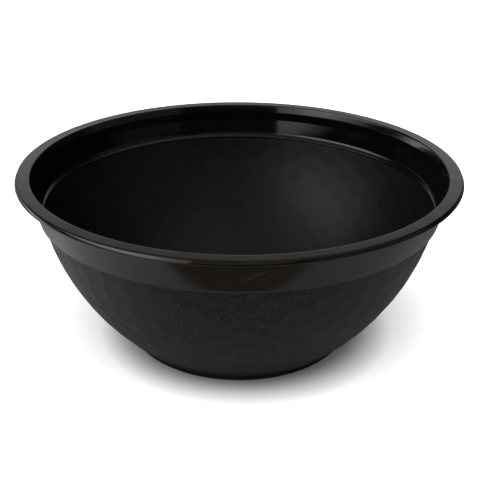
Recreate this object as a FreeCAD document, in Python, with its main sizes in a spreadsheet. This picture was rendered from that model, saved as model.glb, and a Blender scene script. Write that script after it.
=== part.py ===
import FreeCAD, Part
import Sketcher
import math
import os

# Round serving bowl, moulded in one piece from black polypropylene.
#
# The moulding is divided at its own feature lines into ring-shaped zones that meet face
# to face: rim lip, collar, ledge, wall, foot ring and base. The wall is one smooth arc, and
# it is divided once more at mid-height so that each half can be a simple collision ring.
# Frame: +Z is the bowl's axis, and the origin is the centre of the foot, on the table.
# Lengths are in millimetres. In a section, r is the distance from the axis and z the height.

SIZES = {
    # whole bowl
    "rim_radius": 150.0,
    "bowl_height": 123.3,
    "skin": 1.4,
    # rim: a flat lip whose outer edge turns down into a short leaning skirt
    "mouth_radius": 140.4,
    "mouth_round": 0.5,
    "lip_round": 1.0,
    "skirt_depth": 2.9,
    "skirt_lean": 1.3,
    "skirt_round": 0.6,
    # collar: a cone outside; inside, a cone, then a steeper land, then a flare to the mouth
    "flare_foot_radius": 138.6,
    "flare_foot_height": 118.3,
    "land_foot_radius": 138.1,
    "land_foot_height": 112.0,
    "collar_foot_radius": 135.3,
    # ledge: the step where the collar stands outside the wall
    "ledge_height": 98.6,
    "ledge_round": 0.8,
    # wall: one arc turned about the bowl's axis
    "wall_arc_radius": 167.9,
    "wall_arc_offset": 29.7,
    "wall_arc_height": 132.1,
    "wall_split_height": 45.0,
    # foot ring and base
    "foot_radius": 77.7,
    "foot_width": 2.2,
    "foot_round": 0.4,
    "base_lift": 2.2,
}

doc = FreeCAD.newDocument("ServingBowl")
sheet = doc.addObject("Spreadsheet::Sheet", "Sizes")
for row, (alias, size) in enumerate(SIZES.items(), start=1):
    sheet.set("A%d" % row, alias)
    sheet.set("B%d" % row, str(size))
    sheet.setAlias("B%d" % row, alias)
doc.recompute()


def size_of(formula):
    """The number that a formula on the sheet's names gives."""
    return float(sheet.evalExpression(formula))


def arc_between(start, end, radius, left):
    """An arc from start to end whose centre lies to the left or the right of that chord."""
    middle = (start + end) * 0.5
    chord = end - start
    height = math.sqrt(max(radius ** 2 - (chord.Length * 0.5) ** 2, 0.0))
    side = FreeCAD.Vector(-chord.y, chord.x, 0).normalize()
    centre = middle + side * (height if left else -height)
    first, last = (start, end) if left else (end, start)
    from_angle = math.atan2(first.y - centre.y, first.x - centre.x)
    to_angle = math.atan2(last.y - centre.y, last.x - centre.x)
    circle = Part.Circle(centre, FreeCAD.Vector(0, 0, 1), radius)
    return Part.ArcOfCircle(circle, from_angle, to_angle)


def plane_of(body, role):
    """One of a body's own origin planes."""
    return next(f for f in body.Origin.OriginFeatures if f.Role == role)


def turned_ring(label, corners):
    """A body whose section has the given corners, turned once about the bowl's axis.

    A corner is (r, z), and the edge that leaves it is straight. A corner of
    (r, z, radius, side) starts an arc of that radius, with its centre on that side.
    r, z and radius are formulas on the sheet.
    """
    body = doc.addObject("PartDesign::Body", label)
    body.Label = label
    sketch = body.newObject("Sketcher::SketchObject", label + "_section")
    sketch.AttachmentSupport = (plane_of(body, "XZ_Plane"), [""])
    sketch.MapMode = "FlatFace"

    points = [FreeCAD.Vector(size_of(c[0]), size_of(c[1]), 0) for c in corners]
    ends = []
    arcs = {}
    for index, corner in enumerate(corners):
        start = points[index]
        end = points[(index + 1) % len(points)]
        if len(corner) == 2:
            edge = sketch.addGeometry(Part.LineSegment(start, end), False)
            ends.append((edge, 1, 2))
        else:
            left = corner[3] == "left"
            edge = sketch.addGeometry(arc_between(start, end, size_of(corner[2]), left), False)
            ends.append((edge, 1, 2) if left else (edge, 2, 1))
            arcs[edge] = corner[2]

    for index, (edge, start, _) in enumerate(ends):
        before, _, last = ends[index - 1]
        sketch.addConstraint(Sketcher.Constraint("Coincident", before, last, edge, start))
    for index, (edge, start, _) in enumerate(ends):
        place(sketch, edge, start, "r%d" % index, "DistanceX", -2, corners[index][0])
        place(sketch, edge, start, "z%d" % index, "DistanceY", -1, corners[index][1])
    for edge, radius in arcs.items():
        number = sketch.addConstraint(Sketcher.Constraint("Radius", edge, size_of(radius)))
        sketch.renameConstraint(number, "arc%d" % edge)
        sketch.setExpression("Constraints.arc%d" % edge, radius)

    turn = body.newObject("PartDesign::Revolution", label + "_turn")
    turn.Profile = sketch
    turn.ReferenceAxis = (sketch, ["V_Axis"])
    turn.Angle = 360.0
    body.Tip = turn
    return body


def place(sketch, edge, point, name, direction, axis, formula):
    """Holds one coordinate of a point at a formula's value, or on the axis where that is zero."""
    if abs(size_of(formula)) < 1e-9:
        sketch.addConstraint(Sketcher.Constraint("PointOnObject", edge, point, axis))
        return
    number = sketch.addConstraint(
        Sketcher.Constraint(direction, -1, 1, edge, point, size_of(formula)))
    sketch.renameConstraint(number, name)
    sketch.setExpression("Constraints." + name, formula)


# Heights and radii shared by neighbouring zones, as formulas on the sheet.

LIP_TOP = "Sizes.bowl_height"
LIP_UNDER = "Sizes.bowl_height - Sizes.skin"
SKIRT_END = "Sizes.bowl_height - Sizes.skirt_depth"
LEDGE_TOP = "Sizes.ledge_height"
LEDGE_UNDER = "(Sizes.ledge_height - Sizes.skin)"
FLOOR_TOP = "Sizes.base_lift + Sizes.skin"

# Each lean is how far a face moves out for each millimetre of height.
SKIRT_LEAN = "(Sizes.skirt_lean / Sizes.skirt_depth)"
FLARE_LEAN = ("((Sizes.mouth_radius - Sizes.flare_foot_radius)"
              " / (Sizes.bowl_height - Sizes.flare_foot_height))")
COLLAR_LEAN = ("((Sizes.land_foot_radius - Sizes.collar_foot_radius)"
               " / (Sizes.land_foot_height - Sizes.ledge_height))")
# The flare's radius where the collar ends and the lip begins.
FLARE_TOP = "(Sizes.mouth_radius - Sizes.skin * %s)" % FLARE_LEAN


def wall_radius(height, inset="0"):
    """The wall's radius at a height, on its outer face or a distance inside it."""
    drop = "(Sizes.wall_arc_height - (%s))" % height
    return "sqrt((Sizes.wall_arc_radius - %s) ^ 2 - %s ^ 2) - Sizes.wall_arc_offset" % (inset, drop)


def wall_height(radius):
    """The height at which the wall's outer face has a radius."""
    reach = "(%s + Sizes.wall_arc_offset)" % radius
    return "Sizes.wall_arc_height - sqrt(Sizes.wall_arc_radius ^ 2 - %s ^ 2)" % reach


def collar_radius(height):
    """The radius of the collar's outer cone, one skin outside its inner cone, at a height."""
    level_skin = "Sizes.skin * sqrt(1 + %s ^ 2)" % COLLAR_LEAN
    rise = "(%s - Sizes.ledge_height)" % height
    return "Sizes.collar_foot_radius + %s + %s * %s" % (level_skin, rise, COLLAR_LEAN)


def edge_round(corner, level, lean, size, outward, upward):
    """The ends of the round between a level face and a leaning face that meet at a corner.

    The leaning face lies outward (1) or inward (-1) of the level one, and it goes
    up (1) or down (-1) from it. It moves outward by lean for each millimetre it goes.
    """
    slope = "sqrt(1 + (%s) ^ 2)" % lean
    reach = "(%s * (%s - (%s)))" % (size, slope, lean)
    on_level = ("%s - (%d) * %s" % (corner, outward, reach), level)
    on_lean = ("%s + (%d) * %s * (%s) / %s" % (corner, outward, reach, lean, slope),
               "%s + (%d) * %s / %s" % (level, upward, reach, slope))
    return on_level, on_lean


def rim_lip():
    """The flat top, its rounded edges, and the skirt that leans out under it."""
    skirt_slope = "sqrt(1 + %s ^ 2)" % SKIRT_LEAN
    # the skirt's rounded edge, not its corner, reaches the rim's radius
    skirt_corner = "Sizes.rim_radius + Sizes.skirt_round * (%s + %s - 1)" % (
        skirt_slope, SKIRT_LEAN)
    lip_corner = skirt_corner + " - Sizes.skirt_lean"
    inner_face = "%s - Sizes.skin * %s" % (lip_corner, skirt_slope)
    inner_top = "%s + Sizes.skin * %s" % (inner_face, SKIRT_LEAN)
    inner_end = inner_face + " + Sizes.skirt_lean"
    skirt_flat, skirt_face = edge_round(
        skirt_corner, SKIRT_END, "-" + SKIRT_LEAN, "Sizes.skirt_round", 1, 1)
    lip_flat, lip_face = edge_round(lip_corner, LIP_TOP, SKIRT_LEAN, "Sizes.lip_round", 1, -1)
    mouth_flat, mouth_face = edge_round(
        "Sizes.mouth_radius", LIP_TOP, FLARE_LEAN, "Sizes.mouth_round", -1, -1)
    return turned_ring("rim_lip", [
        (FLARE_TOP, LIP_UNDER),
        (inner_top, LIP_UNDER),
        (inner_end, SKIRT_END),
        skirt_flat + ("Sizes.skirt_round", "left"),
        skirt_face,
        lip_face + ("Sizes.lip_round", "left"),
        lip_flat,
        mouth_flat + ("Sizes.mouth_round", "left"),
        mouth_face,
    ])


def collar():
    """The glossy ring that rises from the ledge to the lip."""
    foot_flat, foot_face = edge_round(
        collar_radius(LEDGE_UNDER), LEDGE_UNDER, COLLAR_LEAN, "Sizes.ledge_round", 1, 1)
    return turned_ring("collar", [
        ("Sizes.collar_foot_radius", LEDGE_UNDER),
        foot_flat + ("Sizes.ledge_round", "left"),
        foot_face,
        (collar_radius(LIP_UNDER), LIP_UNDER),
        (FLARE_TOP, LIP_UNDER),
        ("Sizes.flare_foot_radius", "Sizes.flare_foot_height"),
        ("Sizes.land_foot_radius", "Sizes.land_foot_height"),
        ("Sizes.collar_foot_radius", LEDGE_TOP),
    ])


def ledge():
    """The level ring that joins the top of the wall to the foot of the collar."""
    return turned_ring("ledge", [
        (wall_radius(LEDGE_UNDER, "Sizes.skin"), LEDGE_UNDER),
        ("Sizes.collar_foot_radius", LEDGE_UNDER),
        ("Sizes.collar_foot_radius", LEDGE_TOP),
        (wall_radius(LEDGE_UNDER, "Sizes.skin"), LEDGE_TOP),
    ])


def wall(label, low, high):
    """The round wall, one skin thick, between two heights."""
    inner_arc = "Sizes.wall_arc_radius - Sizes.skin"
    return turned_ring(label, [
        (wall_radius(low, "Sizes.skin"), low),
        (wall_radius(low), low, "Sizes.wall_arc_radius", "left"),
        (wall_radius(high), high),
        (wall_radius(high, "Sizes.skin"), high, inner_arc, "right"),
    ])


def foot_ring():
    """The low ring that the bowl stands on, under the end of the wall."""
    inner = "Sizes.foot_radius - Sizes.foot_width"
    return turned_ring("foot_ring", [
        (inner, "0"),
        ("Sizes.foot_radius - Sizes.foot_round", "0", "Sizes.foot_round", "left"),
        ("Sizes.foot_radius", "Sizes.foot_round"),
        ("Sizes.foot_radius", wall_height("Sizes.foot_radius"), "Sizes.wall_arc_radius", "left"),
        (wall_radius(FLOOR_TOP), FLOOR_TOP),
        (inner, FLOOR_TOP),
    ])


def base():
    """The flat disc inside the foot ring, held a little above the table."""
    edge = "Sizes.foot_radius - Sizes.foot_width"
    return turned_ring("base", [
        ("0", "Sizes.base_lift"),
        (edge, "Sizes.base_lift"),
        (edge, FLOOR_TOP),
        ("0", FLOOR_TOP),
    ])


zones = [
    rim_lip(),
    collar(),
    ledge(),
    wall("wall_upper", "Sizes.wall_split_height", LEDGE_UNDER),
    wall("wall_lower", FLOOR_TOP, "Sizes.wall_split_height"),
    foot_ring(),
    base(),
]
doc.recompute()

for thing in doc.Objects:
    if "Invalid" in thing.State or "Error" in thing.State:
        raise RuntimeError("%s did not compute: %s" % (thing.Label, thing.State))
for zone in zones:
    if zone.Shape.isNull() or not zone.Shape.isValid():
        raise RuntimeError("%s has no valid shape" % zone.Label)

os.makedirs("parts", exist_ok=True)
for zone in zones:
    zone.Shape.exportStep(os.path.join("parts", zone.Label + ".step"))
    bounds = zone.Shape.optimalBoundingBox()
    print("%-10s %9.1f mm3  r %7.2f  z %7.2f to %7.2f" % (
        zone.Label, zone.Shape.Volume, bounds.XMax, bounds.ZMin, bounds.ZMax))
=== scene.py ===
import math

import bpy
import numpy as np
from mathutils import Matrix, Vector


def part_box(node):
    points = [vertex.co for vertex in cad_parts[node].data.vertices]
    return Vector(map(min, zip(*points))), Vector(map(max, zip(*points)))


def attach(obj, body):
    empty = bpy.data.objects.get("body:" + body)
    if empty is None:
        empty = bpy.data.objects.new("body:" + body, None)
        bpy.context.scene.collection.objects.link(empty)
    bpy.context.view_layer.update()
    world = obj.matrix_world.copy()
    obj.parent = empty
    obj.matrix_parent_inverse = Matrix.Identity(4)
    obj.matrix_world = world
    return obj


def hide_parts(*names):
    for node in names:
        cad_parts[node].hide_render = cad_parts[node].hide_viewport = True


# A black plastic serving bowl on a pale studio floor.
#
# The bowl is one moulding. Each zone of it is built here as a closed turned mesh that takes
# the place of the plain CAD ring: dimples pressed into the wall, rounded edges on the rim
# and the ledge, a filleted floor inside, and the gate mark underneath.
# Units are metres. In a section, r is the distance from the bowl's axis and z the height.
# Azimuth 0 faces the viewer (-Y) and grows towards +X.

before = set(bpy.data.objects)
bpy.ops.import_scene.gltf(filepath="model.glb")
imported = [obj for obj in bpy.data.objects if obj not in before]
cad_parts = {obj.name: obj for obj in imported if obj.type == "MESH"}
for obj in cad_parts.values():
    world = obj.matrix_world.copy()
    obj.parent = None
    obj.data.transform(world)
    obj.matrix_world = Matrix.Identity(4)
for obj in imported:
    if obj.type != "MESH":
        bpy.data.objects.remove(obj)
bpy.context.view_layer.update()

MM = 0.001

# Places read from the CAD model.
RIM_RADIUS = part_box("rim_lip")[1].x
LIP_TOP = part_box("rim_lip")[1].z
SKIRT_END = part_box("rim_lip")[0].z
LIP_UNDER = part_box("collar")[1].z
LEDGE_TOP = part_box("ledge")[1].z
LEDGE_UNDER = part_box("ledge")[0].z
COLLAR_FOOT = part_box("ledge")[1].x
WALL_TOP_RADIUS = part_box("wall_upper")[1].x
WALL_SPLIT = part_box("wall_lower")[1].z
FLOOR_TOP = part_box("base")[1].z
BASE_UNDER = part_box("base")[0].z
FOOT_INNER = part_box("base")[1].x
SKIN = LEDGE_TOP - LEDGE_UNDER

# Details of the section between those places.
MOUTH_RADIUS = RIM_RADIUS - 9.6 * MM
FLARE_FOOT = (RIM_RADIUS - 11.2 * MM, LIP_TOP - 5.0 * MM)
LAND_FOOT = (RIM_RADIUS - 11.9 * MM, LIP_TOP - 11.3 * MM)
SKIRT_LEAN = 1.4 * MM
SKIRT_ROUND = 0.6 * MM
SKIRT_INNER_ROUND = 0.25 * MM
LIP_EDGE_ROUND = 1.0 * MM
LIP_INNER_ROUND = 0.4 * MM
MOUTH_ROUND = 0.8 * MM
FLARE_ROUND = 1.5 * MM
LAND_ROUND = 2.0 * MM
COLLAR_FOOT_ROUND = 0.7 * MM
LEDGE_ROUND = 0.5 * MM
LEDGE_FILLET = 5.0 * MM
LEDGE_FLAT = 0.5 * MM
FLOOR_FILLET = 9.0 * MM
FOOT_WIDTH = 2.2 * MM
FOOT_ROUND = 0.4 * MM
FOOT_TOP_ROUND = 0.5 * MM
GATE_STEP = 0.35 * MM
WALL_ARC = 167.9 * MM
WALL_ARC_HEIGHT = 132.1 * MM
WALL_ARC_DROP = WALL_ARC_HEIGHT - LEDGE_UNDER
WALL_ARC_R = WALL_TOP_RADIUS - math.sqrt(WALL_ARC ** 2 - WALL_ARC_DROP ** 2)
WALL_TOP_ANGLE = math.asin(WALL_ARC_DROP / WALL_ARC)

# Dimples: staggered rows, the same number in each.
DIMPLES_PER_ROW = 25
DIMPLE_PITCH = 17.5 * MM
DIMPLE_FIRST_AZIMUTH = math.radians(1.95)
DIMPLE_FIRST_ROW = 7.6 * MM
DIMPLE_CURVE = 140.0 * MM
DIMPLE_DEPTH = 0.30 * MM
DIMPLE_FADE_TOP = 1.5 * MM
DIMPLE_FADE_FOOT = 5.0 * MM
PLAIN_ABOVE_FOOT = 4.0 * MM
RIDGE_SOFTNESS = 0.045 * MM
INNER_SHARE = 0.45

# Fineness of the turned meshes, and the angle past which an edge stays sharp.
SEGMENTS = 800
WALL_ROWS = 60
SHARP_ANGLE = math.radians(32)


# ---------------------------------------------------------------- sections

def arc_points(centre, radius, start, end, steps):
    """Points along an arc in the section, from one angle to another."""
    angles = np.linspace(start, end, steps + 1)
    return [(centre[0] + radius * math.cos(a), centre[1] + radius * math.sin(a)) for a in angles]


def rounded(corners, spacing=1.2 * MM, round_steps=7):
    """A closed outline through corners of (r, z, radius), rounded and evenly divided."""
    outline = []
    count = len(corners)
    for index, (r, z, radius) in enumerate(corners):
        here = Vector((r, z))
        before = Vector(corners[index - 1][:2]) - here
        after = Vector(corners[(index + 1) % count][:2]) - here
        turn = before.angle(after)
        if radius <= 0.0:
            outline.append([tuple(here)])
            continue
        reach = radius / math.tan(turn / 2)
        centre = here + (before.normalized() + after.normalized()).normalized() * (
            radius / math.sin(turn / 2))
        first = here + before.normalized() * reach - centre
        last = here + after.normalized() * reach - centre
        start = math.atan2(first.y, first.x)
        sweep = (math.atan2(last.y, last.x) - start + math.pi) % (2 * math.pi) - math.pi
        outline.append(arc_points(centre, radius, start, start + sweep, round_steps))
    points = []
    for index, stretch in enumerate(outline):
        points += stretch
        start = Vector(stretch[-1])
        end = Vector(outline[(index + 1) % count][0])
        steps = max(1, math.ceil((end - start).length / spacing))
        points += [tuple(start.lerp(end, i / steps)) for i in range(1, steps)]
    return points


def wall_point(angle, inset):
    """A point of the wall's section: angle is measured down from level at the arc's centre."""
    radius = WALL_ARC - inset
    return (WALL_ARC_R + radius * math.cos(angle), WALL_ARC_HEIGHT - radius * math.sin(angle))


def wall_angle(height, inset):
    """The angle at which the wall, inset from its outer face, has a height."""
    return math.asin((WALL_ARC_HEIGHT - height) / (WALL_ARC - inset))


# ---------------------------------------------------------------- meshes

def turned(name, section, material, nodes, shift=None):
    """A closed mesh turned from a section, which replaces CAD nodes.

    section is a closed outline of (r, z). shift, if given, moves the vertices:
    it takes the azimuths, radii and heights, and returns new radii and heights.
    """
    rings = len(section)
    azimuth = np.arange(SEGMENTS) * (2 * math.pi / SEGMENTS)
    radius = np.tile(np.array([p[0] for p in section]), (SEGMENTS, 1))
    height = np.tile(np.array([p[1] for p in section]), (SEGMENTS, 1))
    azimuths = np.tile(azimuth[:, None], (1, rings))
    if shift is not None:
        radius, height = shift(azimuths, radius, height)
    x = radius * np.sin(azimuths)
    y = -radius * np.cos(azimuths)
    vertices = np.stack([x, y, height], axis=-1).reshape(-1, 3)
    i, j = np.meshgrid(np.arange(SEGMENTS), np.arange(rings), indexing="ij")
    next_i = (i + 1) % SEGMENTS
    next_j = (j + 1) % rings
    faces = np.stack([i * rings + j, next_i * rings + j,
                      next_i * rings + next_j, i * rings + next_j], axis=-1).reshape(-1, 4)
    mesh = bpy.data.meshes.new(name)
    mesh.from_pydata(vertices.tolist(), [], faces.tolist())
    finished(name, mesh, material, nodes)


def disc(name, section, material, nodes):
    """A closed turned mesh whose open section starts and ends on the axis."""
    inner = section[1:-1]
    rings = len(inner)
    vertices = [(0.0, 0.0, section[0][1]), (0.0, 0.0, section[-1][1])]
    for k in range(SEGMENTS):
        azimuth = k * 2 * math.pi / SEGMENTS
        vertices += [(r * math.sin(azimuth), -r * math.cos(azimuth), z) for r, z in inner]
    faces = []
    for k in range(SEGMENTS):
        here = 2 + k * rings
        there = 2 + (k + 1) % SEGMENTS * rings
        faces.append((0, there, here))
        faces += [(here + j, there + j, there + j + 1, here + j + 1) for j in range(rings - 1)]
        faces.append((1, here + rings - 1, there + rings - 1))
    mesh = bpy.data.meshes.new(name)
    mesh.from_pydata(vertices, [], faces)
    finished(name, mesh, material, nodes)


def finished(name, mesh, material, nodes):
    """Links a mesh as a piece of the bowl, smooth but for its sharp corners."""
    mesh.validate()
    piece = bpy.data.objects.new(name, mesh)
    bpy.context.scene.collection.objects.link(piece)
    outward(mesh)
    mesh.shade_smooth()
    mesh.set_sharp_from_angle(angle=SHARP_ANGLE)
    mesh.materials.append(material)
    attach(piece, "root")
    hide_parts(*nodes)


def outward(mesh):
    """Turns the faces of a closed mesh so that their normals point out."""
    mesh.calc_loop_triangles()
    corners = np.array([v.co for v in mesh.vertices])
    triangles = np.array([t.vertices for t in mesh.loop_triangles])
    a, b, c = (corners[triangles[:, k]] for k in range(3))
    if np.einsum("ij,ij->i", a, np.cross(b, c)).sum() < 0:
        mesh.flip_normals()


def dimple_height(azimuth, arc_length, radius):
    """How far the surface rises above the bottoms of the nearest dimples.

    Each dimple is a shallow bowl of its own, and the ridges are where neighbours meet.
    """
    spread = 2 * math.pi / DIMPLES_PER_ROW
    total = np.zeros_like(azimuth)
    for row in range(-1, 2):
        for half in range(2):
            first_azimuth = DIMPLE_FIRST_AZIMUTH + half * spread / 2
            first_row = DIMPLE_FIRST_ROW + half * DIMPLE_PITCH / 2
            across = (azimuth - first_azimuth + spread / 2) % spread - spread / 2
            along = (arc_length - first_row + DIMPLE_PITCH / 2) % DIMPLE_PITCH - DIMPLE_PITCH / 2
            along = along + row * DIMPLE_PITCH
            rise = ((across * radius) ** 2 + along ** 2) / (2 * DIMPLE_CURVE)
            total += np.exp(-rise / RIDGE_SOFTNESS)
    return -RIDGE_SOFTNESS * np.log(total)


def dimpled(azimuth, radius, height):
    """Presses the dimples into the wall: they show on its inner face too, but fainter."""
    out_r = radius - WALL_ARC_R
    out_z = height - WALL_ARC_HEIGHT
    reach = np.hypot(out_r, out_z)
    angle = np.arctan2(-out_z, out_r)
    arc_length = WALL_ARC * (angle - WALL_TOP_ANGLE)
    pressed = np.clip(DIMPLE_DEPTH - dimple_height(azimuth, arc_length, radius), 0.0, None)
    foot_length = WALL_ARC * (wall_angle(FLOOR_TOP, 0.0) - WALL_TOP_ANGLE)
    fade_top = np.clip(arc_length / DIMPLE_FADE_TOP, 0.0, 1.0)
    to_plain = foot_length - PLAIN_ABOVE_FOOT - arc_length
    fade_foot = np.clip(to_plain / DIMPLE_FADE_FOOT, 0.0, 1.0)
    pressed = pressed * smooth(fade_top) * smooth(fade_foot)
    depth_in = np.clip((WALL_ARC - reach) / SKIN, 0.0, 1.0)
    reach = reach - pressed * (1.0 + (INNER_SHARE - 1.0) * depth_in)
    return WALL_ARC_R + reach * np.cos(angle), WALL_ARC_HEIGHT - reach * np.sin(angle)


def smooth(t):
    """Eases a value from 0 to 1."""
    return t * t * (3 - 2 * t)


# ---------------------------------------------------------------- materials

class Graph:
    """Adds nodes to a node tree and joins their sockets."""

    def __init__(self, tree):
        self.tree = tree

    def add(self, kind, **settings):
        node = self.tree.nodes.new(kind)
        for key, value in settings.items():
            setattr(node, key, value)
        return node

    def join(self, start, end):
        self.tree.links.new(start, end)

    def put(self, value, socket):
        """Sets a socket to a constant, or joins another socket to it."""
        if isinstance(value, (int, float, tuple)):
            socket.default_value = value
        else:
            self.join(value, socket)

    def split(self, vector):
        """The x, y and z of a vector."""
        node = self.add("ShaderNodeSeparateXYZ")
        self.join(vector, node.inputs[0])
        return node.outputs

    def math(self, operation, a, b=0.0):
        node = self.add("ShaderNodeMath", operation=operation)
        self.put(a, node.inputs[0])
        self.put(b, node.inputs[1])
        return node.outputs["Value"]

    def times(self, a, b):
        return self.math("MULTIPLY", a, b)

    def plus(self, a, b):
        return self.math("ADD", a, b)

    def minus(self, a, b):
        return self.math("SUBTRACT", a, b)

    def length(self, a, b):
        """The length of a level vector."""
        return self.math("SQRT", self.plus(self.times(a, a), self.times(b, b)))

    def ramp(self, value, low, high, start=0.0, end=1.0, shape="LINEAR"):
        """Maps low..high onto start..end, and holds beyond them."""
        node = self.add("ShaderNodeMapRange", interpolation_type=shape)
        for key, number in (("From Min", low), ("From Max", high),
                            ("To Min", start), ("To Max", end)):
            node.inputs[key].default_value = number
        self.join(value, node.inputs["Value"])
        return node.outputs["Result"]


class Nodes(Graph):
    """The nodes of a material."""

    def __init__(self, name):
        self.material = bpy.data.materials.new(name)
        self.material.use_nodes = True
        super().__init__(self.material.node_tree)
        self.shader = self.tree.nodes["Principled BSDF"]
        self.place = self.add("ShaderNodeTexCoord").outputs["Object"]

    def noise(self, scale, detail=3.0, roughness=0.5, vector=None):
        node = self.add("ShaderNodeTexNoise")
        node.inputs["Scale"].default_value = scale
        node.inputs["Detail"].default_value = detail
        node.inputs["Roughness"].default_value = roughness
        self.join(vector or self.place, node.inputs["Vector"])
        return node.outputs["Fac"]

    def mix(self, factor, a, b):
        node = self.add("ShaderNodeMix", data_type="RGBA")
        self.join(factor, node.inputs["Factor"])
        # the sockets 6 and 7, and the output 2, are the ones for colours
        self.put(a, node.inputs[6])
        self.put(b, node.inputs[7])
        return node.outputs[2]

    def bump(self, height, distance, normal=None):
        node = self.add("ShaderNodeBump")
        node.inputs["Distance"].default_value = distance
        node.inputs["Strength"].default_value = 1.0
        self.join(height, node.inputs["Height"])
        if normal is not None:
            self.join(normal, node.inputs["Normal"])
        return node.outputs["Normal"]


def around(nodes, along, across):
    """A vector whose noise is drawn out round the bowl, for marks left by lids and stacking."""
    x, y, z = nodes.split(nodes.place)
    turn = nodes.math("ARCTAN2", x, y)
    joined = nodes.add("ShaderNodeCombineXYZ")
    nodes.join(nodes.times(nodes.length(x, y), across), joined.inputs[0])
    nodes.join(nodes.times(turn, along), joined.inputs[1])
    nodes.join(nodes.times(z, across), joined.inputs[2])
    return joined.outputs[0]


def scratch(nodes, place, azimuth, height, slant, half_length, bow):
    """A hairline across the collar: 1 on the line and 0 off it.

    place is (distance round the collar, height) as sockets. slant is the line's angle from
    level, and bow how far its ends bend away from a straight line.
    """
    round_offset = nodes.minus(place[0], RIM_RADIUS * math.radians(azimuth))
    height_offset = nodes.minus(place[1], height)
    cos = math.cos(math.radians(slant))
    sin = math.sin(math.radians(slant))
    along = nodes.plus(nodes.times(round_offset, cos), nodes.times(height_offset, sin))
    across = nodes.minus(nodes.times(height_offset, cos), nodes.times(round_offset, sin))
    bend = nodes.times(nodes.times(along, along), bow / half_length ** 2)
    off_line = nodes.math("ABSOLUTE", nodes.minus(across, bend))
    line = nodes.ramp(off_line, 0.06 * MM, 0.26 * MM, 1.0, 0.0)
    reach = nodes.math("ABSOLUTE", along)
    return nodes.times(line, nodes.ramp(reach, 0.6 * half_length, half_length, 1.0, 0.0))


# Hairlines on the collar: azimuth in degrees, -180 to 180, height, slant in degrees, half length, bow.
SCRATCHES = (
    (0.9, 106.5 * MM, 63.0, 5.5 * MM, 1.3 * MM),
    (2.4, 108.5 * MM, 52.0, 7.5 * MM, 1.2 * MM),
    (3.6, 109.5 * MM, 36.0, 6.5 * MM, -1.4 * MM),
    (4.9, 110.5 * MM, 24.0, 5.0 * MM, 0.9 * MM),
    (6.3, 107.5 * MM, 31.0, 3.5 * MM, 0.5 * MM),
    (-31.0, 106.0 * MM, 33.0, 5.0 * MM, 0.6 * MM),
    (62.0, 108.0 * MM, 47.0, 6.0 * MM, -0.6 * MM),
    (118.0, 105.0 * MM, 58.0, 5.0 * MM, 0.5 * MM),
    (-157.0, 109.0 * MM, 29.0, 6.0 * MM, 0.4 * MM),
    (-73.0, 107.0 * MM, 66.0, 5.0 * MM, -0.5 * MM),
)


def scratches(nodes):
    """All the hairlines together."""
    x, y, z = nodes.split(nodes.place)
    turn = nodes.math("ARCTAN2", x, nodes.times(y, -1.0))
    place = (nodes.times(turn, RIM_RADIUS), z)
    total = None
    for azimuth, height, slant, half_length, bow in SCRATCHES:
        line = scratch(nodes, place, azimuth, height, slant, half_length, bow)
        total = line if total is None else nodes.math("MAXIMUM", total, line)
    return total


def gloss_plastic():
    """Smooth black plastic: faint smudges, hairlines round the rim, a little dust, and lighter edges
    that are partly wear and partly a painted highlight.
    """
    nodes = Nodes("gloss_black_plastic")
    smudge = nodes.noise(34.0, 4.0, 0.6)
    fine = nodes.noise(900.0, 2.0)
    hairline = nodes.noise(1.0, 3.0, 0.7, around(nodes, 9.0, 2600.0))
    dust = nodes.ramp(nodes.noise(1100.0, 0.0), 0.86, 0.90)
    # sharp convex edges get a lighter colour, partly rubbed wear and partly a painted edge highlight,
    # and a rougher finish
    wear_and_edge_highlight = nodes.ramp(nodes.add("ShaderNodeNewGeometry").outputs["Pointiness"], 0.53, 0.60)
    colour = nodes.mix(smudge, (0.0020, 0.0019, 0.0018, 1), (0.0034, 0.0032, 0.0031, 1))
    colour = nodes.mix(nodes.times(wear_and_edge_highlight, 0.35), colour, (0.018, 0.017, 0.016, 1))
    colour = nodes.mix(nodes.times(dust, 0.2), colour, (0.10, 0.098, 0.093, 1))
    scratched = nodes.times(scratches(nodes), 0.6)
    colour = nodes.mix(scratched, colour, (0.030, 0.025, 0.018, 1))
    nodes.join(colour, nodes.shader.inputs["Base Color"])
    rough = nodes.ramp(smudge, 0.35, 0.75, 0.07, 0.13)
    rough = nodes.plus(rough, nodes.ramp(hairline, 0.60, 0.75, 0.0, 0.06))
    rough = nodes.plus(rough, nodes.times(wear_and_edge_highlight, 0.06))
    nodes.join(rough, nodes.shader.inputs["Roughness"])
    waves = nodes.bump(nodes.noise(55.0, 1.0), 0.10 * MM)
    peel = nodes.bump(nodes.noise(420.0, 1.0), 0.002 * MM, normal=waves)
    lines = nodes.bump(hairline, 0.0016 * MM, normal=peel)
    nodes.join(nodes.bump(fine, 0.0004 * MM, normal=lines), nodes.shader.inputs["Normal"])
    nodes.shader.inputs["IOR"].default_value = 1.49
    return nodes.material


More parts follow.
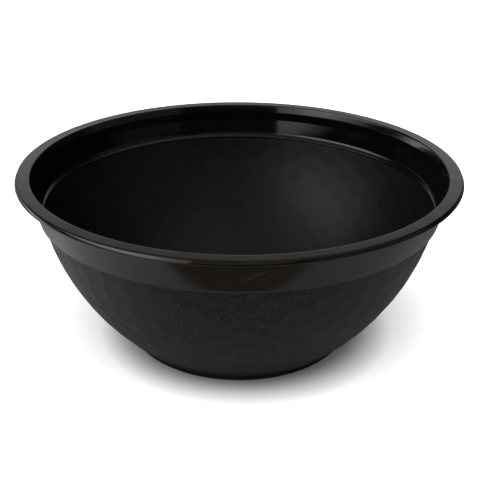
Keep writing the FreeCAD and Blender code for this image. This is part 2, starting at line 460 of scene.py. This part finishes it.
def satin_plastic():
    """Fine-grained black plastic with soft, uneven sheen."""
    nodes = Nodes("satin_black_plastic")
    cloud = nodes.noise(22.0, 4.0, 0.55)
    speckle = nodes.ramp(nodes.noise(760.0, 3.0, 0.75), 0.40, 0.60)
    facing = nodes.split(nodes.add("ShaderNodeNewGeometry").outputs["True Normal"])
    # the grain shows less on the inside, whose faces look up
    strength = nodes.ramp(facing["Z"], -0.1, 0.1, 1.0, 0.35)
    speckle = nodes.plus(nodes.times(nodes.minus(speckle, 0.5), strength), 0.5)
    grain = nodes.noise(2600.0, 2.0, 0.6)
    rubbed = nodes.noise(1.0, 3.0, 0.6, around(nodes, 14.0, 700.0))
    fleck = nodes.ramp(nodes.noise(620.0, 0.0), 0.79, 0.82)
    fleck = nodes.times(fleck, nodes.times(strength, 0.45))
    dark = nodes.mix(cloud, (0.0008, 0.0007, 0.0007, 1), (0.0018, 0.0017, 0.0015, 1))
    light = nodes.mix(cloud, (0.0066, 0.0064, 0.0060, 1), (0.0106, 0.0103, 0.0097, 1))
    colour = nodes.mix(speckle, dark, light)
    colour = nodes.mix(fleck, colour, (0.045, 0.044, 0.042, 1))
    nodes.join(colour, nodes.shader.inputs["Base Color"])
    rough = nodes.ramp(cloud, 0.3, 0.7, 0.38, 0.46)
    rough = nodes.plus(rough, nodes.ramp(rubbed, 0.55, 0.75, 0.0, 0.05))
    nodes.join(rough, nodes.shader.inputs["Roughness"])
    soft = nodes.bump(nodes.noise(120.0, 2.0), 0.03 * MM)
    coarse = nodes.bump(speckle, 0.045 * MM, normal=soft)
    nodes.join(nodes.bump(grain, 0.010 * MM, normal=coarse), nodes.shader.inputs["Normal"])
    nodes.shader.inputs["IOR"].default_value = 1.49
    nodes.shader.inputs["Specular IOR Level"].default_value = 0.22
    return nodes.material


gloss = gloss_plastic()
satin = satin_plastic()


# ---------------------------------------------------------------- the bowl

COLLAR_LEAN = (LAND_FOOT[0] - COLLAR_FOOT) / (LAND_FOOT[1] - LEDGE_TOP)
FLARE_LEAN = (MOUTH_RADIUS - FLARE_FOOT[0]) / (LIP_TOP - FLARE_FOOT[1])
FLARE_TOP = MOUTH_RADIUS - SKIN * FLARE_LEAN


def collar_radius(height):
    """The radius of the collar's outer cone at a height."""
    level_skin = SKIN * math.hypot(1, COLLAR_LEAN)
    return COLLAR_FOOT + level_skin + (height - LEDGE_TOP) * COLLAR_LEAN


def make_rim_lip():
    """The flat lip, its softened edges and the leaning skirt."""
    slope = SKIRT_LEAN / (LIP_TOP - SKIRT_END)
    skirt_corner = RIM_RADIUS + SKIRT_ROUND * (math.hypot(1, slope) + slope - 1)
    lip_corner = skirt_corner - SKIRT_LEAN
    skin_level = SKIN * math.hypot(1, slope)
    inner_top = lip_corner - skin_level + SKIN * slope
    section = rounded([
        (FLARE_TOP, LIP_UNDER, 0),
        (collar_radius(LIP_UNDER), LIP_UNDER, 0),
        (inner_top, LIP_UNDER, LIP_INNER_ROUND),
        (skirt_corner - skin_level, SKIRT_END, SKIRT_INNER_ROUND),
        (skirt_corner, SKIRT_END, SKIRT_ROUND),
        (lip_corner, LIP_TOP, LIP_EDGE_ROUND),
        (MOUTH_RADIUS, LIP_TOP, MOUTH_ROUND),
    ])
    turned("rim_lip_moulding", section, gloss, ["rim_lip"])


def make_collar():
    """The glossy ring between the ledge and the lip: a cone, a land and a flare inside."""
    section = rounded([
        (COLLAR_FOOT, LEDGE_UNDER, 0),
        (collar_radius(LEDGE_UNDER), LEDGE_UNDER, COLLAR_FOOT_ROUND),
        (collar_radius(LIP_UNDER), LIP_UNDER, 0),
        (FLARE_TOP, LIP_UNDER, 0),
        (FLARE_FOOT[0], FLARE_FOOT[1], FLARE_ROUND),
        (LAND_FOOT[0], LAND_FOOT[1], LAND_ROUND),
        (COLLAR_FOOT, LEDGE_TOP, 0),
    ])
    turned("collar_moulding", section, gloss, ["collar"])


def make_ledge():
    """The step inside: its inner edge is softened, and a hollow curve runs up to the collar."""
    inner_radius = wall_point(wall_angle(LEDGE_UNDER, SKIN), SKIN)[0]
    lean = math.atan(COLLAR_LEAN)
    # the curve is tangent to the collar a little way up, and it ends where a level strip is left
    end = inner_radius + LEDGE_FLAT
    gap = (COLLAR_FOOT - end) * math.cos(lean)
    rise = math.sqrt(2 * gap * LEDGE_FILLET - gap ** 2) - (COLLAR_FOOT - end) * math.sin(lean)
    centre = (COLLAR_FOOT - LEDGE_FILLET * math.cos(lean) + rise * math.sin(lean),
              LEDGE_TOP + LEDGE_FILLET * math.sin(lean) + rise * math.cos(lean))
    end_angle = math.atan2(LEDGE_TOP - centre[1], end - centre[0])
    curve = [(r, z, 0) for r, z in arc_points(centre, LEDGE_FILLET, -lean, end_angle, 14)]
    section = rounded([
        (inner_radius, LEDGE_UNDER, 0),
        (COLLAR_FOOT, LEDGE_UNDER, 0),
        (COLLAR_FOOT, LEDGE_TOP, 0),
        *curve,
        (inner_radius, LEDGE_TOP, LEDGE_ROUND),
    ], spacing=0.5 * MM)
    turned("ledge_moulding", section, gloss, ["ledge"])


def make_wall_upper():
    """The upper half of the dimpled wall."""
    outer = np.linspace(WALL_TOP_ANGLE, wall_angle(WALL_SPLIT, 0.0), WALL_ROWS)
    inner = np.linspace(wall_angle(WALL_SPLIT, SKIN), wall_angle(LEDGE_UNDER, SKIN), WALL_ROWS)
    section = [wall_point(a, 0.0) for a in outer] + [wall_point(a, SKIN) for a in inner]
    turned("wall_upper_moulding", section, satin, ["wall_upper"], dimpled)


def make_wall_lower():
    """The lower half of the dimpled wall, whose inner face runs out into the floor."""
    rows = WALL_ROWS - 2
    outer = np.linspace(wall_angle(WALL_SPLIT, 0.0), wall_angle(FLOOR_TOP, 0.0), rows)
    radius = WALL_ARC - SKIN - FLOOR_FILLET
    fillet_height = FLOOR_TOP + FLOOR_FILLET
    fillet_angle = math.asin((WALL_ARC_HEIGHT - fillet_height) / radius)
    fillet_centre = (WALL_ARC_R + radius * math.cos(fillet_angle), fillet_height)
    fillet = arc_points(fillet_centre, FLOOR_FILLET, -math.pi / 2, -fillet_angle, 12)
    inner = np.linspace(fillet_angle, wall_angle(WALL_SPLIT, SKIN), rows)[1:]
    section = [wall_point(a, 0.0) for a in outer] + fillet + [wall_point(a, SKIN) for a in inner]
    turned("wall_lower_moulding", section, satin, ["wall_lower"], dimpled)


def make_foot_ring():
    """The low ring that the bowl stands on."""
    foot_outer = FOOT_INNER + FOOT_WIDTH
    wall_foot = wall_point(wall_angle(FLOOR_TOP, 0.0), 0.0)[0]
    foot_top = WALL_ARC_HEIGHT - math.sqrt(WALL_ARC ** 2 - (foot_outer - WALL_ARC_R) ** 2)
    section = rounded([
        (FOOT_INNER, 0.0, FOOT_ROUND),
        (foot_outer, 0.0, FOOT_ROUND),
        (foot_outer, foot_top, FOOT_TOP_ROUND),
        (wall_foot, FLOOR_TOP, 0),
        (FOOT_INNER, FLOOR_TOP, 0),
    ], spacing=0.6 * MM)
    turned("foot_ring_moulding", section, satin, ["foot_ring"])


def make_base():
    """The floor disc, with the round gate mark in the middle of its underside."""
    pip = BASE_UNDER - GATE_STEP
    hollow = BASE_UNDER + GATE_STEP
    under = [(0.0, pip), (1.1 * MM, pip), (1.4 * MM, hollow), (5.6 * MM, hollow)]
    under += [(6.2 * MM, BASE_UNDER)]
    under += [(r, BASE_UNDER) for r in np.linspace(9.0 * MM, FOOT_INNER, 20)]
    over = [(r, FLOOR_TOP) for r in np.linspace(FOOT_INNER, 2.0 * MM, 28)]
    over += [(0.0, FLOOR_TOP)]
    disc("base_moulding", under + over, satin, ["base"])


make_rim_lip()
make_collar()
make_ledge()
make_wall_upper()
make_wall_lower()
make_foot_ring()
make_base()


# ---------------------------------------------------------------- studio

CAMERA_PLACE = (0.0, -579.3 * MM, 337.8 * MM)
CAMERA_DOWN = math.radians(25.115)
CAMERA_TURN = -0.0011
CAMERA_ROLL = 0.0056
LENS = 67.7
SENSOR_WIDTH = 36.0


def make_camera():
    """The camera: a level distance back, raised, and looking down."""
    data = bpy.data.cameras.new("camera")
    data.lens = LENS
    data.sensor_width = SENSOR_WIDTH
    camera = bpy.data.objects.new("camera", data)
    bpy.context.scene.collection.objects.link(camera)
    turn = Matrix.Rotation(CAMERA_TURN, 4, "Z")
    tilt = Matrix.Rotation(math.pi / 2 - CAMERA_DOWN, 4, "X")
    roll = Matrix.Rotation(CAMERA_ROLL, 4, "Z")
    place = Matrix.Translation(CAMERA_PLACE)
    camera.matrix_world = place @ turn @ tilt @ roll
    bpy.context.scene.camera = camera


# A painted contact shadow on the floor: its colour rises from the first value to the second
# between two distances from a point just right of the bowl's middle.
PAINTED_SHADOW_SHIFT = 5.0 * MM
PAINTED_SHADOW_START = 78.0 * MM
PAINTED_SHADOW_END = 106.0 * MM
PAINTED_SHADOW_COLOUR = 0.30
FLOOR_COLOUR = 0.88


def make_floor():
    """A pale matt floor with a painted contact shadow round the foot, and painted light, much darker,
    in reflections.
    """
    mesh = bpy.data.meshes.new("floor")
    side = 4.0
    mesh.from_pydata([(-side, -side, 0), (side, -side, 0), (side, side, 0), (-side, side, 0)],
                     [], [(0, 1, 2, 3)])
    floor = bpy.data.objects.new("floor", mesh)
    bpy.context.scene.collection.objects.link(floor)
    nodes = Nodes("floor")
    x, y, _ = nodes.split(nodes.place)
    # painted light in reflections: there the floor shows a much darker colour, lighter on the left and
    # darker to the right and behind
    painted_light_left = nodes.ramp(x, -0.25, -0.05, 0.38, 0.20)
    painted_shade_right = nodes.ramp(x, 0.20, 0.34, 1.0, 0.45)
    painted_shade_behind = nodes.ramp(y, 0.0, 0.10, 1.0, 0.45)
    painted_reflected_light = nodes.times(nodes.times(painted_light_left, painted_shade_right), painted_shade_behind)
    # painted shadow: the floor's colour is darker close to the foot
    radius = nodes.length(nodes.minus(x, PAINTED_SHADOW_SHIFT), y)
    painted_contact_shadow = nodes.ramp(radius, PAINTED_SHADOW_START, PAINTED_SHADOW_END, PAINTED_SHADOW_COLOUR, FLOOR_COLOUR)
    glossy = nodes.add("ShaderNodeLightPath").outputs["Is Glossy Ray"]
    colour = nodes.mix(glossy, painted_contact_shadow, painted_reflected_light)
    nodes.join(colour, nodes.shader.inputs["Base Color"])
    nodes.shader.inputs["Roughness"].default_value = 0.9
    nodes.shader.inputs["Specular IOR Level"].default_value = 0.0
    mesh.materials.append(nodes.material)


def make_card(name, centre, size, facing, radiance, colour, soft):
    """A soft-edged glowing panel that shows only in reflections."""
    mesh = bpy.data.meshes.new(name)
    mesh.from_pydata([(-1, -1, 0), (1, -1, 0), (1, 1, 0), (-1, 1, 0)], [], [(0, 1, 2, 3)])
    card = bpy.data.objects.new(name, mesh)
    bpy.context.scene.collection.objects.link(card)
    direction = Vector(facing) - Vector(centre)
    turn = direction.to_track_quat("Z", "Y").to_matrix().to_4x4()
    scale = Matrix.Diagonal((size[0] / 2, size[1] / 2, 1, 1))
    card.matrix_world = Matrix.Translation(centre) @ turn @ scale
    card.visible_camera = False
    card.visible_diffuse = False
    card.visible_shadow = False
    card.visible_transmission = False
    card.visible_volume_scatter = False
    nodes = Nodes(name)
    tree = nodes.tree
    tree.nodes.remove(nodes.shader)
    x, y, _ = nodes.split(nodes.place)
    cover = nodes.times(nodes.ramp(nodes.math("ABSOLUTE", x), 1 - soft, 1.0, 1.0, 0.0),
                        nodes.ramp(nodes.math("ABSOLUTE", y), 1 - soft, 1.0, 1.0, 0.0))
    glow = nodes.add("ShaderNodeEmission")
    glow.inputs["Strength"].default_value = radiance
    glow.inputs["Color"].default_value = colour
    clear = nodes.add("ShaderNodeBsdfTransparent")
    mix = nodes.add("ShaderNodeMixShader")
    nodes.join(cover, mix.inputs[0])
    nodes.join(clear.outputs[0], mix.inputs[1])
    nodes.join(glow.outputs[0], mix.inputs[2])
    nodes.join(mix.outputs[0], tree.nodes["Material Output"].inputs["Surface"])
    mesh.materials.append(nodes.material)


class Sky(Graph):
    """Builds the world's light as a function of direction."""

    def __init__(self):
        world = bpy.data.worlds.new("studio")
        bpy.context.scene.world = world
        world.use_nodes = True
        super().__init__(world.node_tree)
        self.tree.nodes.clear()
        self.x, self.y, self.z = self.split(self.add("ShaderNodeTexCoord").outputs["Generated"])
        self.azimuth = self.math("ARCTAN2", self.x, self.times(self.y, -1.0))

    def fade(self, value, low, high, start, end):
        return self.ramp(value, low, high, start, end, "SMOOTHSTEP")

    def panel(self, azimuths, elevations, radiance, softness, edge):
        """A glowing panel between two azimuths and two elevations, in degrees.

        softness is how far its left and right sides fade, and edge how far its bottom and top do.
        """
        left, right = (math.radians(a) for a in azimuths)
        fade_left, fade_right = (math.radians(f) for f in softness)
        low, high = (math.sin(math.radians(e)) for e in elevations)
        rise = math.radians(edge)
        glow = self.fade(self.azimuth, left - fade_left, left + fade_left, 0.0, radiance)
        for lit in (self.fade(self.azimuth, right - fade_right, right + fade_right, 1.0, 0.0),
                    self.fade(self.z, low - rise, low + rise, 0.0, 1.0),
                    self.fade(self.z, high - rise, high + rise, 1.0, 0.0)):
            glow = self.times(glow, lit)
        return glow

    def light(self, strength, colour=(1, 1, 1, 1)):
        node = self.add("ShaderNodeBackground")
        node.inputs["Color"].default_value = colour
        self.put(strength, node.inputs["Strength"])
        return node.outputs[0]

    def choose(self, factor, otherwise, chosen):
        node = self.add("ShaderNodeMixShader")
        for socket, value in zip(node.inputs, (factor, otherwise, chosen)):
            self.join(value, socket)
        return node.outputs[0]


# Panels that light the floor and the matt surfaces, and panels that the gloss shows:
# azimuths, elevations, radiance, softness of the left and right sides, and of the bottom and top.
MATT_PANELS = (
    ((-97, -23.5), (3, 30), 2.2, (12, 4), 2.5),     # a window on the viewer's left
    ((-60, 60), (50, 82), 7.5, (20, 16), 9.0),      # a soft light high in front
)
GLOSS_PANELS = (
    ((-46, -23.5), (-1, 13), 1.2, (18, 0.8), 2.5),  # the window's foot
    ((-97, -23.5), (13, 36), 1.2, (12, 0.8), 2.5),  # the whole window
    ((-88, -38), (13, 36), 0.9, (10, 12), 4.0),     # its brighter middle
    ((-104, -42), (16.5, 37), 1.2, (8, 16), 2.5),   # its brighter left part
    ((-135, -75), (-4, 5), 2.0, (8, 8), 2.5),       # a low bright wall further left
    ((-23.5, 26), (22, 34), 0.30, (2, 8), 2.0),     # a dim strip over the viewer
    ((36, 100), (4, 30), 0.12, (4, 8), 2.5),        # a dim wall on the right
    ((30, 110), (36, 72), 0.15, (14, 10), 9.0),     # a dim light above that wall
)


def make_world():
    """White to the camera; a soft bright room for matt light; a darker room in reflections."""
    sky = Sky()
    matt = sky.times(sky.fade(sky.z, 0.0, 1.0, 0.8, 2.0), sky.fade(sky.x, -1.0, 1.0, 1.12, 0.82))
    for panel in MATT_PANELS:
        matt = sky.plus(matt, sky.panel(*panel))
    # a pale backdrop straight behind the bowl, and a soft light overhead
    backdrop = sky.times(sky.fade(sky.y, 0.70, 0.96, 0.0, 1.0),
                         sky.fade(sky.z, 0.20, 0.58, 0.95, 0.03))
    backdrop = sky.times(backdrop, sky.fade(sky.z, 0.25, 0.335, 0.25, 1.0))
    shown = sky.plus(backdrop, sky.fade(sky.z, 0.62, 0.86, 0.03, 0.34))
    for panel in GLOSS_PANELS:
        shown = sky.plus(shown, sky.panel(*panel))
    path = sky.add("ShaderNodeLightPath").outputs
    room = sky.choose(path["Is Diffuse Ray"], sky.light(shown, (1.0, 0.965, 0.93, 1)), sky.light(matt))
    surface = sky.choose(path["Is Camera Ray"], room, sky.light(1.0))
    sky.join(surface, sky.add("ShaderNodeOutputWorld").inputs["Surface"])


make_camera()
make_floor()
make_world()
# a painted reflection of dark brown wood: a dim brown glowing card just above the floor, from a little
# in front of the bowl, seen only in reflections
WOOD_REFLECTION_START = 205.0 * MM
WOOD_REFLECTION_WIDTH = 3.0
WOOD_REFLECTION_DEPTH = 1.5
wood_reflection_middle = -WOOD_REFLECTION_START - WOOD_REFLECTION_DEPTH / 2
make_card("painted_wood_reflection_card", (0, wood_reflection_middle, 1.0 * MM), (WOOD_REFLECTION_WIDTH, WOOD_REFLECTION_DEPTH), (0, wood_reflection_middle, 1), 0.16,
          (1.0, 0.78, 0.52, 1), 0.004)
bpy.context.scene.view_settings.view_transform = "Standard"
